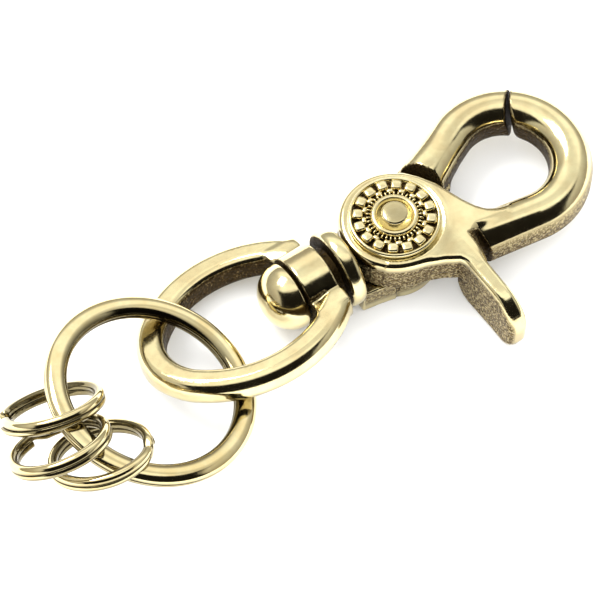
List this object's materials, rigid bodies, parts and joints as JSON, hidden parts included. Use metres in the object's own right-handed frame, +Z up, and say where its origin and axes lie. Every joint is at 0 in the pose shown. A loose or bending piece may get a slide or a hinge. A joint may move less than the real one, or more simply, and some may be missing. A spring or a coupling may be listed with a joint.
{
  "type": "trigger clasp key holder",
  "caption": "Cast brass trigger clasp on a swivel eye, with a half-round wire split ring through the eye and small split rings on it",
  "frame": {"origin": "centre of the rivet's flat tail, on the surface that the clasp lies on, on the axis that the lever turns about", "axes": "+X along the swivel axis from the rings towards the hook's nose, +Z up out of the surface it lies on, the thumb tab points to -Y"},
  "size_m": [0.1, 0.0363, 0.0196],
  "materials": {
    "polished_brass": "polished",
    "wire_brass": "bright drawn wire",
    "aged_brass": "dull, darkened in the recesses"
  },
  "bodies": {
    "clasp": {"gate_body": "polished_brass", "rivet_post": "polished_brass", "concho_cap": "polished_brass", "rivet_washer": "aged_brass", "trigger_spring": "aged_brass", "swivel_pin": "polished_brass"},
    "lever": {"hook_lever": "polished_brass"},
    "eye": {"swivel_eye": "polished_brass"},
    "large_ring": {"key_ring": "wire_brass"},
    "first_small_ring": {"small_ring_1": "wire_brass"},
    "second_small_ring": {"small_ring_2": "wire_brass"},
    "third_small_ring": {"small_ring_3": "wire_brass"}
  },
  "joints": [
    {"name": "trigger_pivot", "type": "hinge", "parent": "clasp", "child": "lever", "pos_m": [0, 0, 0.008], "axis": [0, 0, -1], "range_deg": [0, 24], "stiffness_Nm_per_rad": 0.02, "springref_deg": -14.32},
    {"name": "eye_swivel", "type": "hinge", "parent": "clasp", "child": "eye", "pos_m": [-0.0148, 0, 0.0062], "axis": [1, 0, 0], "continuous": true},
    {"name": "key_ring_swing", "type": "hinge", "parent": "eye", "child": "large_ring", "pos_m": [-0.0324, 0.0093, 0.0047], "axis": [0.04, 0.9931, -0.1106], "range_deg": [0, 45]},
    {"name": "small_ring_1_slide_round", "type": "hinge", "parent": "large_ring", "child": "first_small_ring", "pos_m": [-0.04327, -0.00353, 0.00951], "axis": [0.3147, -0.0956, 0.9444], "range_deg": [-55, 0]},
    {"name": "small_ring_2_turn", "type": "hinge", "parent": "large_ring", "child": "second_small_ring", "pos_m": [-0.05608, -0.00552, 0.01362], "axis": [0.0421, 0.6507, 0.7581], "range_deg": [-30, 30]},
    {"name": "small_ring_3_slide_round", "type": "hinge", "parent": "large_ring", "child": "third_small_ring", "pos_m": [-0.04327, -0.00353, 0.00951], "axis": [0.3147, -0.0956, 0.9444], "range_deg": [0, 65]}
  ]
}
